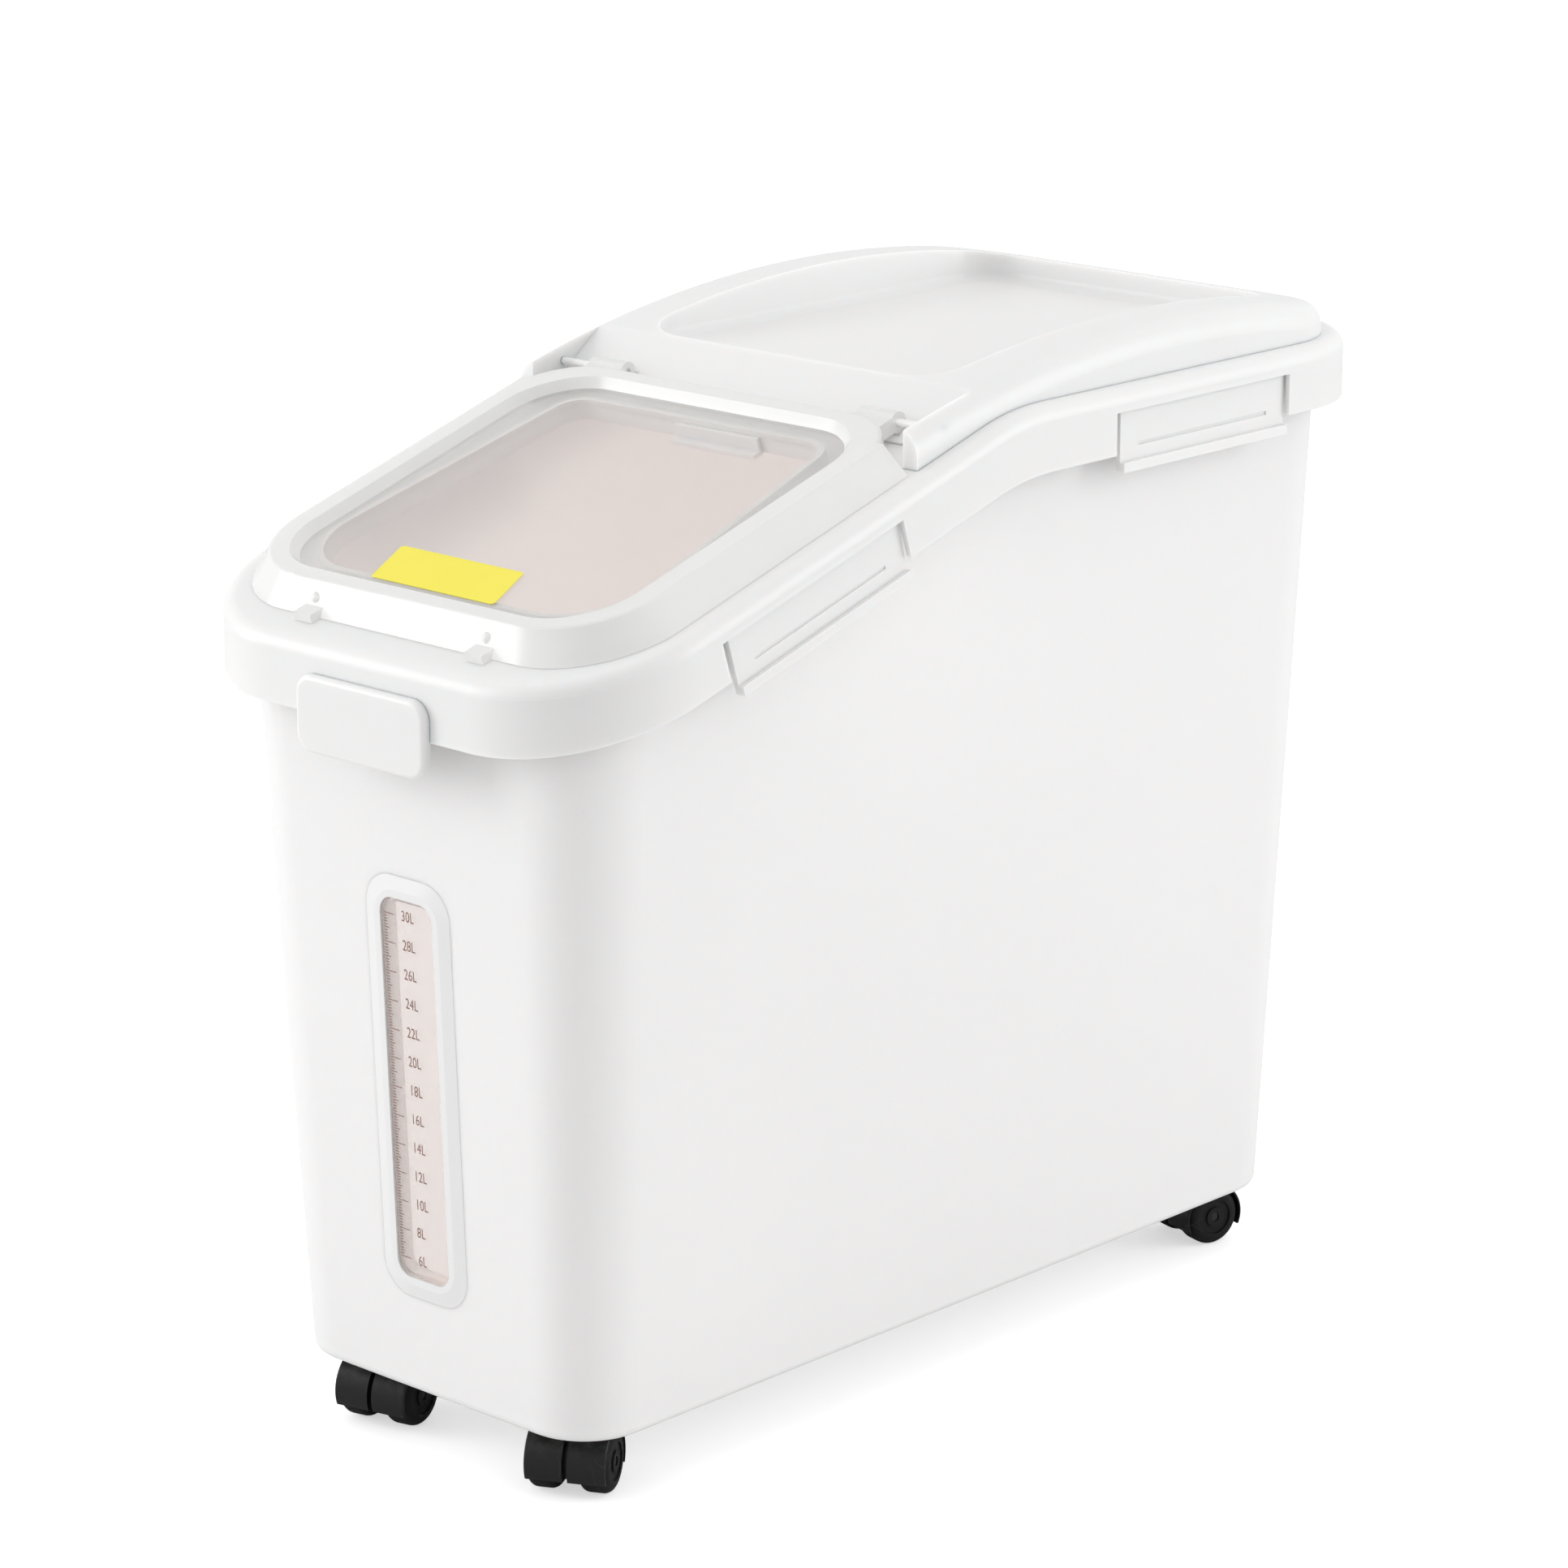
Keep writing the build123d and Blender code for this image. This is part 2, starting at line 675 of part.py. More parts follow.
def tray_block(outset, floor_z):
    """Tapered block that fills the tray, swelled by outset."""
    with BuildPart() as block:
        with BuildSketch(Plane.XY.offset(floor_z)):
            with Locations((0, (tray_front_y + tray_back_y) / 2)):
                RectangleRounded(
                    2 * (tray_half_width + outset),
                    tray_back_y - tray_front_y + 2 * outset,
                    tray_radius + outset,
                )
        extrude(amount=rim_block_high_z - floor_z, taper=-tray_draft)
        fillet(block.faces().sort_by(Axis.Z)[0].edges(), tray_floor_radius + outset)
    return block.part


# Rear cover: crowned, with a sunken tray, a ramp up from the flap and a cheek at each front corner
hinge_point = slope_plane.from_local_coords((0, hinge_v, hinge_n))
hinge_plane = Plane(origin=hinge_point, x_dir=(0, 1, 0), z_dir=(1, 0, 0))

with BuildPart() as cover_hollow:
    add(crowned_block(cover_wall))
    add(tray_block(cover_wall, tray_floor_z - cover_wall), mode=Mode.SUBTRACT)
    add(ramp_block(rim_reach_x, cover_wall), mode=Mode.SUBTRACT)

with BuildPart() as rear_cover:
    add(crowned_block(0))
    add(rim_band(0, rim_reach_z), mode=Mode.SUBTRACT)
    add(ramp_block(cheek_inner_x, 0), mode=Mode.SUBTRACT)
    add(tray_block(0, tray_floor_z), mode=Mode.SUBTRACT)
    add(cover_hollow.part, mode=Mode.SUBTRACT)
    for side in (-1, 1):
        with BuildSketch(hinge_plane.offset(side * (barrel_inner_x - hinge_pocket_end_gap))):
            Circle(hinge_pocket_radius)
        extrude(amount=side * (barrel_length + 2 * hinge_pocket_end_gap), mode=Mode.SUBTRACT)
    with BuildSketch(hinge_plane):
        Circle(hinge_pin_radius)
    extrude(amount=pin_outer_x, both=True, mode=Mode.SUBTRACT)
rear_cover.part.label = "rear_cover"
export_step(rear_cover.part, "parts/rear_cover.step")

# Hinge pins: pressed into the cheeks
for side_name, side in (("left", -1), ("right", 1)):
    with BuildPart() as hinge_pin:
        with BuildSketch(hinge_plane.offset(side * pin_inner_x)):
            Circle(hinge_pin_radius)
        extrude(amount=side * (pin_outer_x - pin_inner_x))
    hinge_pin.part.label = f"hinge_pin_{side_name}"
    export_step(hinge_pin.part, f"parts/hinge_pin_{side_name}.step")


def flap_hat(inset, low_n, high_n, back_v, edge_radius=0):
    """Front part of the flap: sloping walls drawn in by inset, cut off square at back_v."""
    with BuildPart() as hat:
        for height in (low_n, high_n):
            share = (height - flap_seat_gap) / (flap_height - flap_seat_gap)
            half_width = flap_base_half_width - share * flap_side_run - inset
            front = flap_base_front_v + share * flap_front_run + inset
            radius = flap_base_radius + share * (flap_top_radius - flap_base_radius) - inset
            with BuildSketch(slope_plane.offset(height)):
                with Locations((0, front)):
                    RectangleRounded(2 * half_width, -front, radius, align=(Align.CENTER, Align.MIN))
        loft(ruled=True)
        if edge_radius:
            fillet(hat.faces().sort_by(slope_normal)[-1].edges(), edge_radius)
        with BuildSketch(slope_plane.offset(low_n - cut_margin)):
            with Locations((0, back_v)):
                Rectangle(2 * rim_reach_x, rim_reach_y, align=(Align.CENTER, Align.MIN))
        extrude(amount=high_n - low_n + 2 * cut_margin, mode=Mode.SUBTRACT)
    return hat.part


def flap_neck(inset, low_n, high_n, edge_radius=0):
    """Back part of the flap, between the cheeks, with rounded back corners."""
    with BuildPart() as neck:
        with BuildSketch(slope_plane.offset(low_n)):
            with Locations((0, flap_neck_back_v - inset)):
                RectangleRounded(
                    2 * (flap_top_half_width - inset),
                    flap_neck_back_v - flap_shoulder_v + 2 * flap_neck_radius,
                    flap_neck_radius - inset,
                    align=(Align.CENTER, Align.MAX),
                )
        extrude(amount=high_n - low_n)
        if edge_radius:
            fillet(neck.faces().sort_by(slope_normal)[-1].edges(), edge_radius)
    return neck.part


def panel_block(outset, low_n, high_n, swell):
    """Block on the outline of the flap's clear panel, swelled by outset and by swell at its top."""
    with BuildPart() as block:
        for height, grow in ((low_n, outset), (high_n, outset + swell)):
            with BuildSketch(slope_plane.offset(height)):
                with Locations((0, (panel_front_v + panel_back_v) / 2)):
                    RectangleRounded(
                        2 * (panel_half_width + grow),
                        panel_back_v - panel_front_v + 2 * grow,
                        panel_radius + grow,
                    )
        loft(ruled=True)
    return block.part


# Clear flap: a shallow cap over the mouth, with a ridge round a sunken panel
flap_rise = flap_height - flap_seat_gap
flap_wall_run = flap_wall * hypot(flap_side_run, flap_rise) / flap_rise

hollow_back_v = flap_shoulder_v - flap_wall
ridge_hollow_low = flap_panel_bottom - cut_margin

with BuildPart() as ridge_hollow:
    add(flap_hat(flap_wall_run, ridge_hollow_low, ridge_hollow_top, hollow_back_v))
    add(flap_neck(flap_wall, ridge_hollow_low, ridge_hollow_top))
    add(
        panel_block(
            panel_slope_run + flap_wall, ridge_hollow_low - cut_margin, ridge_hollow_top + cut_margin, 0
        ),
        mode=Mode.SUBTRACT,
    )

with BuildPart() as flap:
    add(flap_hat(0, flap_seat_gap, flap_height, flap_shoulder_v, flap_edge_radius))
    add(flap_neck(0, flap_seat_gap, flap_height, flap_edge_radius))
    with BuildSketch(slope_plane.offset(flap_seat_gap)):
        with Locations((-catch_x, flap_base_front_v), (catch_x, flap_base_front_v)):
            Rectangle(catch_width, 2 * catch_reach)
    extrude(amount=catch_height)
    bump_v = flap_base_front_v + (bump_n - flap_seat_gap) / flap_rise * flap_front_run + bump_radius / 2
    with Locations(slope_plane.location):
        with Locations((-catch_x, bump_v, bump_n), (catch_x, bump_v, bump_n)):
            Sphere(bump_radius)
    for side in (-1, 1):
        with BuildSketch(hinge_plane.offset(side * barrel_inner_x)):
            Circle(barrel_radius)
        extrude(amount=side * barrel_length)
        with BuildSketch(slope_plane.offset(hinge_n - hinge_arm_thickness / 2)):
            with Locations((side * (barrel_inner_x + barrel_outer_x) / 2, hinge_v)):
                Rectangle(barrel_length, hinge_arm_length, align=(Align.CENTER, Align.MAX))
        extrude(amount=hinge_arm_thickness)
    add(
        flap_hat(flap_wall_run, flap_seat_gap - cut_margin, flap_panel_bottom, hollow_back_v),
        mode=Mode.SUBTRACT,
    )
    add(flap_neck(flap_wall, flap_seat_gap - cut_margin, flap_panel_bottom), mode=Mode.SUBTRACT)
    add(ridge_hollow.part, mode=Mode.SUBTRACT)
    add(panel_block(0, flap_panel_top, flap_height, panel_slope_run), mode=Mode.SUBTRACT)
    with BuildSketch(hinge_plane):
        Circle(hinge_pin_radius + hinge_running_gap)
    extrude(amount=barrel_outer_x + cut_margin, both=True, mode=Mode.SUBTRACT)
flap.part.label = "flap"
export_step(flap.part, "parts/flap.step")

# Blank label on the flap's panel
label_front_v = panel_front_v + label_setback
label_back_v = label_front_v + label_depth
with BuildPart() as label:
    with BuildSketch(slope_plane.offset(flap_panel_top)) as outline:
        with BuildLine():
            Polyline(
                (-label_half_width, label_front_v),
                (label_half_width, label_front_v),
                (label_half_width - label_lean, label_back_v),
                (-label_half_width - label_lean, label_back_v),
                close=True,
            )
        make_face()
        fillet(outline.vertices(), label_radius)
    extrude(amount=label_thickness)
label.part.label = "blank_label"
export_step(label.part, "parts/blank_label.step")

# Mouth seal: a soft ring on the collar
with BuildPart() as mouth_seal:
    add(mouth_block(collar_wall, collar_height, collar_height + seal_height))
    add(mouth_block(0, collar_height, collar_height + seal_height), mode=Mode.SUBTRACT)
mouth_seal.part.label = "mouth_seal"
export_step(mouth_seal.part, "parts/mouth_seal.step")

# Scoop hook at the back edge of the mouth
with BuildPart() as scoop_hook:
    with BuildSketch(slope_plane.offset(-hook_drop)):
        with Locations((hook_middle_x, mouth_back_v)):
            Rectangle(hook_width, hook_thickness, align=(Align.CENTER, Align.MAX))
    extrude(amount=hook_drop + collar_height)
    with BuildSketch(slope_plane.offset(-hook_drop)):
        with Locations((hook_middle_x, mouth_back_v)):
            Rectangle(hook_width, hook_thickness + hook_lip, align=(Align.CENTER, Align.MAX))
    extrude(amount=hook_thickness)
scoop_hook.part.label = "scoop_hook"
export_step(scoop_hook.part, "parts/scoop_hook.step")

# Caster pieces, drawn round a swivel axis at the origin with the wheels in front of it
wheel_plane = Plane(origin=(0, -caster_trail, wheel_radius), x_dir=(0, 1, 0), z_dir=(1, 0, 0))

with BuildPart() as caster_plate:
    with BuildSketch(Plane.XY.offset(plate_low_z)):
        Circle(plate_radius)
    extrude(amount=plate_thickness)
    with BuildSketch(Plane.XY.offset(plate_low_z)):
        Circle(sleeve_radius)
    extrude(amount=sleeve_height)
    with BuildSketch(Plane.XY.offset(plate_low_z)):
        Circle(stem_radius + stem_running_gap)
        with PolarLocations(screw_circle_radius, screw_count, start_angle=45):
            Circle(screw_shank_radius)
    extrude(amount=sleeve_height, mode=Mode.SUBTRACT)
    with BuildSketch(Plane.XY.offset(plate_low_z)):
        with PolarLocations(screw_circle_radius, screw_count, start_angle=45):
            Circle(screw_head_radius)
    extrude(amount=screw_head_height, mode=Mode.SUBTRACT)

with BuildPart() as caster_screws:
    with BuildSketch(Plane.XY.offset(plate_low_z + screw_head_fit)):
        with PolarLocations(screw_circle_radius, screw_count, start_angle=45):
            Circle(screw_head_radius - screw_head_fit)
    extrude(amount=screw_head_height - screw_head_fit)
    with BuildSketch(Plane.XY.offset(plate_low_z + screw_head_height)):
        with PolarLocations(screw_circle_radius, screw_count, start_angle=45):
            Circle(screw_shank_radius)
    extrude(amount=screw_length - screw_head_height)

with BuildPart() as caster_stem:
    with BuildSketch(Plane.XY.offset(stem_low_z)):
        Circle(stem_radius)
    extrude(amount=stem_top_z - stem_low_z)

with BuildPart() as caster_axle:
    with BuildSketch(wheel_plane):
        Circle(axle_radius)
    extrude(amount=wheel_outer_x - axle_end_inset, both=True)

# Hood: a shell over each wheel, a groove between the shells, and the web that holds the axle
web_half_width = wheel_inner_x - hood_web_gap
with BuildPart() as caster_hood:
    with BuildSketch(wheel_plane):
        Circle(hood_radius)
        with Locations((0, -hood_skirt_drop)):
            Rectangle(3 * hood_radius, hood_radius, align=(Align.CENTER, Align.MAX), mode=Mode.SUBTRACT)
    extrude(amount=wheel_outer_x - hood_outer_inset, both=True)
    fillet(caster_hood.edges().filter_by(GeomType.CIRCLE), hood_edge_radius)
    for side in (-1, 1):
        with BuildSketch(wheel_plane.offset(side * web_half_width)):
            Circle(wheel_radius + hood_gap)
        extrude(amount=side * (wheel_outer_x - web_half_width), mode=Mode.SUBTRACT)
    with BuildSketch(wheel_plane):
        Circle(hood_radius + cut_margin)
        Circle(hood_radius - hood_groove_depth, mode=Mode.SUBTRACT)
    extrude(amount=hood_groove_half_width, both=True, mode=Mode.SUBTRACT)
    with BuildSketch(wheel_plane):
        Circle(hood_web_radius)
    extrude(amount=web_half_width, both=True)
    with BuildSketch(Plane.XY.offset(wheel_radius)):
        Circle(swivel_neck_radius)
    extrude(amount=swivel_boss_top_z - wheel_radius)
    with BuildSketch(Plane.XY.offset(swivel_boss_low_z)):
        Circle(swivel_boss_radius)
    extrude(amount=swivel_boss_height)
    with BuildSketch(Plane.XY.offset(stem_low_z)):
        Circle(stem_radius)
    extrude(amount=stem_top_z - stem_low_z, mode=Mode.SUBTRACT)
    with BuildSketch(wheel_plane):
        Circle(axle_radius)
    extrude(amount=wheel_inner_x, both=True, mode=Mode.SUBTRACT)

with BuildPart() as right_wheel:
    with BuildSketch(wheel_plane.offset(wheel_inner_x)):
        Circle(wheel_radius)
    extrude(amount=wheel_thickness)
    fillet(right_wheel.edges(), wheel_edge_radius)
    with BuildSketch(wheel_plane.offset(wheel_outer_x)):
        Circle(wheel_dish_radius)
        Circle(wheel_hub_radius, mode=Mode.SUBTRACT)
    extrude(amount=-wheel_dish_depth, mode=Mode.SUBTRACT)
    with BuildSketch(wheel_plane.offset(wheel_inner_x)):
        Circle(axle_radius + axle_running_gap)
    extrude(amount=wheel_thickness, mode=Mode.SUBTRACT)

with BuildPart() as left_wheel:
    mirror(right_wheel.part, about=Plane.YZ)

caster_pieces = {
    "plate": caster_plate.part,
    "screws": caster_screws.part,
    "stem": caster_stem.part,
    "axle": caster_axle.part,
    "hood": caster_hood.part,
    "left_wheel": left_wheel.part,
    "right_wheel": right_wheel.part,
}

# The four casters, each turned as it happened to stop
for corner_name, (corner_x, corner_y) in caster_places.items():
    for piece_name, piece in caster_pieces.items():
        turn = 0 if piece_name in ("plate", "screws") else caster_turns[corner_name]
        with BuildPart() as placed:
            with Locations(Location((corner_x, corner_y, 0), (0, 0, turn))):
                add(piece)
        placed.part.label = f"{corner_name}_caster_{piece_name}"
        export_step(placed.part, f"parts/{corner_name}_caster_{piece_name}.step")
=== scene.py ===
# %% [markdown]
# # A rolling ingredient bin
# The bin is a tall, narrow tub of white polypropylene with a two-part lid: a clear flap on a slope in front,
# and a crowned cover with a sunken tray behind it. A sight window runs down the front wall, and the whole
# stands on four black twin-wheel casters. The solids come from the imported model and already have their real
# shapes, so this lesson is about finishes, the printed scale and the studio.

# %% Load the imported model
import json
from math import cos, radians, sin

import bpy
import bmesh
from mathutils import Matrix, Vector


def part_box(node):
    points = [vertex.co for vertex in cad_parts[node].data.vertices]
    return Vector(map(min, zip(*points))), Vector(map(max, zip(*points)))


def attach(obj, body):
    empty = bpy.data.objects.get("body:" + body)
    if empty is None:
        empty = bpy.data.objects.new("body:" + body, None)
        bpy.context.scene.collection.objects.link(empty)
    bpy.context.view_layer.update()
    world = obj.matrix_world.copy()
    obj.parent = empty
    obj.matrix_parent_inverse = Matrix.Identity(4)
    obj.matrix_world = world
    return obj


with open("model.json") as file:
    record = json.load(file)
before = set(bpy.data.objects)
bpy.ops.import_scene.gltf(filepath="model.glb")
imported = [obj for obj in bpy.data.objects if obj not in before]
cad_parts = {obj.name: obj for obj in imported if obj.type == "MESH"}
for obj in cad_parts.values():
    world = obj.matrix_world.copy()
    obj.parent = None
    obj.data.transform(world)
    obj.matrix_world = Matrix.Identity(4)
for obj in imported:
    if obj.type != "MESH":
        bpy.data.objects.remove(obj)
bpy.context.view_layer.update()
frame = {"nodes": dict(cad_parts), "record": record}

nodes = frame["nodes"]

# %% [markdown]
# ## Small helpers
# Shader and geometry trees are long lists of nodes and links. Short helpers keep them readable: one makes a
# node and fills its inputs, where an input may be a number or another node's output, one mixes two colours,
# and one makes an empty node group with its sockets.

# %% Node helpers
def add_node(tree, kind, inputs=None, **settings):
    made = tree.nodes.new(kind)
    for name, value in settings.items():
        setattr(made, name, value)
    for name, value in (inputs or {}).items():
        if isinstance(value, bpy.types.NodeSocket):
            tree.links.new(value, made.inputs[name])
        else:
            made.inputs[name].default_value = value
    return made


def mix_colours(tree, factor, first, second):
    made = add_node(tree, "ShaderNodeMix", {0: factor}, data_type="RGBA")
    for index, colour in ((6, first), (7, second)):
        if isinstance(colour, bpy.types.NodeSocket):
            tree.links.new(colour, made.inputs[index])
        else:
            made.inputs[index].default_value = (*colour, 1.0)
    return made.outputs[2]


def new_group(name, kind, inputs, outputs):
    group = bpy.data.node_groups.new(name, kind)
    for label, socket, value in inputs:
        made = group.interface.new_socket(label, in_out="INPUT", socket_type=socket)
        if value is not None:
            made.default_value = value
    for label, socket in outputs:
        group.interface.new_socket(label, in_out="OUTPUT", socket_type=socket)
    return group, group.nodes.new("NodeGroupInput").outputs, group.nodes.new("NodeGroupOutput").inputs


# %% [markdown]
# ## Surface effects that several finishes share
# Moulded plastic takes the fine texture of its steel mould and is never quite one tone, because the melt cools
# unevenly. Things that are handled pick up faint scuffs, and what faces up in a kitchen gathers flour dust.
# Each effect could be painted into every material by hand. As node groups they are built once, and each
# finish sets its own size and strength.

# %% Mould grain
mould_grain, given, wanted = new_group(
    "mould_grain",
    "ShaderNodeTree",
    [
        ("Vector", "NodeSocketVector", None),
        ("Grain per Metre", "NodeSocketFloat", 1800.0),
        ("Clouds per Metre", "NodeSocketFloat", 7.0),
    ],
    [("Height", "NodeSocketFloat"), ("Tone", "NodeSocketFloat")],
)
grain = add_node(
    mould_grain,
    "ShaderNodeTexNoise",
    {"Vector": given["Vector"], "Scale": given["Grain per Metre"], "Detail": 2.0},
)
cloud = add_node(
    mould_grain,
    "ShaderNodeTexNoise",
    {"Vector": given["Vector"], "Scale": given["Clouds per Metre"], "Detail": 4.0},
)
mould_grain.links.new(grain.outputs[0], wanted["Height"])
mould_grain.links.new(cloud.outputs[0], wanted["Tone"])
print("group:", mould_grain.name)

# %% Handling scuffs
handling_scuffs, given, wanted = new_group(
    "handling_scuffs",
    "ShaderNodeTree",
    [
        ("Vector", "NodeSocketVector", None),
        ("Scuffs per Metre", "NodeSocketFloat", 60.0),
        ("Amount", "NodeSocketFloat", 0.3),
    ],
    [("Mask", "NodeSocketFloat")],
)
wander = add_node(handling_scuffs, "ShaderNodeTexNoise", {"Vector": given["Vector"], "Scale": 9.0})
bent = add_node(
    handling_scuffs,
    "ShaderNodeVectorMath",
    {0: wander.outputs[1], 1: (0.08, 0.08, 0.08), 2: given["Vector"]},
    operation="MULTIPLY_ADD",
)
lines = add_node(
    handling_scuffs,
    "ShaderNodeTexVoronoi",
    {"Vector": bent.outputs[0], "Scale": given["Scuffs per Metre"]},
    feature="DISTANCE_TO_EDGE",
)
thin = add_node(
    handling_scuffs,
    "ShaderNodeMapRange",
    {"Value": lines.outputs["Distance"], "From Max": 0.02, "To Min": 1.0, "To Max": 0.0},
)
patches = add_node(handling_scuffs, "ShaderNodeTexNoise", {"Vector": given["Vector"], "Scale": 24.0, "Detail": 3.0})
worn = add_node(
    handling_scuffs, "ShaderNodeMapRange", {"Value": patches.outputs[0], "From Min": 0.54, "From Max": 0.7}
)
crossed = add_node(
    handling_scuffs, "ShaderNodeMath", {0: thin.outputs[0], 1: worn.outputs[0]}, operation="MULTIPLY"
)
scaled = add_node(
    handling_scuffs, "ShaderNodeMath", {0: crossed.outputs[0], 1: given["Amount"]}, operation="MULTIPLY"
)
handling_scuffs.links.new(scaled.outputs[0], wanted["Mask"])
print("group:", handling_scuffs.name)

# %% Flour dust
flour_dust, given, wanted = new_group(
    "flour_dust",
    "ShaderNodeTree",
    [
        ("Vector", "NodeSocketVector", None),
        ("Normal", "NodeSocketVector", None),
        ("Amount", "NodeSocketFloat", 0.2),
    ],
    [("Mask", "NodeSocketFloat")],
)
facing = add_node(flour_dust, "ShaderNodeSeparateXYZ", {"Vector": given["Normal"]})
upward = add_node(flour_dust, "ShaderNodeMapRange", {"Value": facing.outputs["Z"], "From Min": 0.2})
specks = add_node(
    flour_dust,
    "ShaderNodeTexNoise",
    {"Vector": given["Vector"], "Scale": 90.0, "Detail": 6.0, "Roughness": 0.7},
)
drifts = add_node(
    flour_dust, "ShaderNodeMapRange", {"Value": specks.outputs[0], "From Min": 0.42, "From Max": 0.75}
)
settled = add_node(flour_dust, "ShaderNodeMath", {0: upward.outputs[0], 1: drifts.outputs[0]}, operation="MULTIPLY")
scaled = add_node(flour_dust, "ShaderNodeMath", {0: settled.outputs[0], 1: given["Amount"]}, operation="MULTIPLY")
flour_dust.links.new(scaled.outputs[0], wanted["Mask"])
print("group:", flour_dust.name)

# %% [markdown]
# ## Moulded plastics
# Tub, lid and cover are white polypropylene with a fine satin texture, and the casters are black nylon. One
# function makes them all: the mould grain lifts the surface and varies its roughness, a slow cloud shifts its
# tone by a hair, and scuffs and dust lie over that. White polypropylene is cloudy rather than painted: light
# wanders some millimetres inside it before it comes out, so a thin wall also lights the inside of the tub, and
# warms that light, because red wanders furthest. Subsurface scattering gives both effects at once, and a faint
# glow on the inside makes up for the bounces that a short render leaves out. The window frame is too thin for
# scattering: light would leak out at its edges and leave it grey, so it stays opaque.

# %% One function for every moulding
flour_colour = (0.86, 0.83, 0.78)
satin_spread = 0.06


def moulded_plastic(name, light, shade, roughness, grain_depth, grain_per_metre, scuff_colour, scuffs, dust):
    material = bpy.data.materials.new(name)
    material.use_nodes = True
    tree = material.node_tree
    shader = tree.nodes["Principled BSDF"]
    place = tree.nodes.new("ShaderNodeTexCoord").outputs
    grain = add_node(
        tree,
        "ShaderNodeGroup",
        {"Vector": place["Object"], "Grain per Metre": grain_per_metre},
        node_tree=mould_grain,
    )
    worn = add_node(
        tree, "ShaderNodeGroup", {"Vector": place["Object"], "Amount": scuffs}, node_tree=handling_scuffs
    )
    dusty = add_node(
        tree,
        "ShaderNodeGroup",
        {"Vector": place["Object"], "Normal": place["Normal"], "Amount": dust},
        node_tree=flour_dust,
    )
    colour = mix_colours(tree, grain.outputs["Tone"], shade, light)
    colour = mix_colours(tree, worn.outputs["Mask"], colour, scuff_colour)
    colour = mix_colours(tree, dusty.outputs["Mask"], colour, flour_colour)
    tree.links.new(colour, shader.inputs["Base Color"])
    satin = add_node(
        tree,
        "ShaderNodeMapRange",
        {"Value": grain.outputs["Height"], "To Min": roughness - satin_spread, "To Max": roughness + satin_spread},
    )
    rougher = add_node(
        tree, "ShaderNodeMath", {0: dusty.outputs["Mask"], 1: satin.outputs[0]}, operation="ADD"
    )
    tree.links.new(rougher.outputs[0], shader.inputs["Roughness"])
    bump = add_node(
        tree, "ShaderNodeBump", {"Height": grain.outputs["Height"], "Distance": grain_depth, "Strength": 1.0}
    )
    tree.links.new(bump.outputs["Normal"], shader.inputs["Normal"])
    return material, shader


def let_light_in(shader, depth):
    """Lets light wander this deep, in metres, with green and blue going a little less far than red."""
    shader.inputs["Subsurface Weight"].default_value = 1.0
    shader.inputs["Subsurface Radius"].default_value = (1.0, 0.88, 0.82)
    shader.inputs["Subsurface Scale"].default_value = depth
    shader.inputs["IOR"].default_value = 1.49


# %% White and black plastics
tub_white, shader = moulded_plastic(
    "tub_white",
    light=(0.87, 0.87, 0.868),
    shade=(0.84, 0.842, 0.84),
    roughness=0.42,
    grain_depth=0.00004,
    grain_per_metre=1500.0,
    scuff_colour=(0.74, 0.74, 0.73),
    scuffs=0.12,
    dust=0.04,
)
let_light_in(shader, 0.006)

# The inside is painted lighter and warmer than the outside and given a faint glow: painted light for the light that
# reaches the inside of the tub.
painted_light_tub_inside, shader = moulded_plastic(
    "painted_light_tub_inside",
    light=(0.95, 0.875, 0.855),
    shade=(0.93, 0.85, 0.825),
    roughness=0.5,
    grain_depth=0.00005,
    grain_per_metre=1200.0,
    scuff_colour=(0.7, 0.64, 0.6),
    scuffs=0.25,
    dust=0.2,
)
let_light_in(shader, 0.012)
shader.inputs["Emission Color"].default_value = (1.0, 0.84, 0.8, 1.0)
shader.inputs["Emission Strength"].default_value = 0.1

lid_white, shader = moulded_plastic(
    "lid_white",
    light=(0.815, 0.815, 0.813),
    shade=(0.79, 0.791, 0.79),
    roughness=0.36,
    grain_depth=0.00003,
    grain_per_metre=1900.0,
    scuff_colour=(0.76, 0.76, 0.75),
    scuffs=0.15,
    dust=0.06,
)
let_light_in(shader, 0.003)

frame_white, _ = moulded_plastic(
    "frame_white",
    light=(0.82, 0.82, 0.818),
    shade=(0.8, 0.801, 0.8),
    roughness=0.38,
    grain_depth=0.00003,
    grain_per_metre=1700.0,
    scuff_colour=(0.74, 0.74, 0.73),
    scuffs=0.1,
    dust=0.04,
)

caster_black, shader = moulded_plastic(
    "caster_black",
    light=(0.01, 0.01, 0.0102),
    shade=(0.006, 0.006, 0.0062),
    roughness=0.34,
    grain_depth=0.00006,
    grain_per_metre=2200.0,
    scuff_colour=(0.11, 0.11, 0.105),
    scuffs=0.4,
    dust=0.06,
)
shader.inputs["Specular IOR Level"].default_value = 0.28

wheel_black, shader = moulded_plastic(
    "wheel_black",
    light=(0.009, 0.009, 0.0094),
    shade=(0.005, 0.005, 0.0053),
    roughness=0.62,
    grain_depth=0.00008,
    grain_per_metre=1300.0,
    scuff_colour=(0.09, 0.088, 0.085),
    scuffs=0.4,
    dust=0.03,
)
shader.inputs["Specular IOR Level"].default_value = 0.2
print("moulded finishes:", [m.name for m in bpy.data.materials if m.name.endswith(("white", "inside", "black"))])
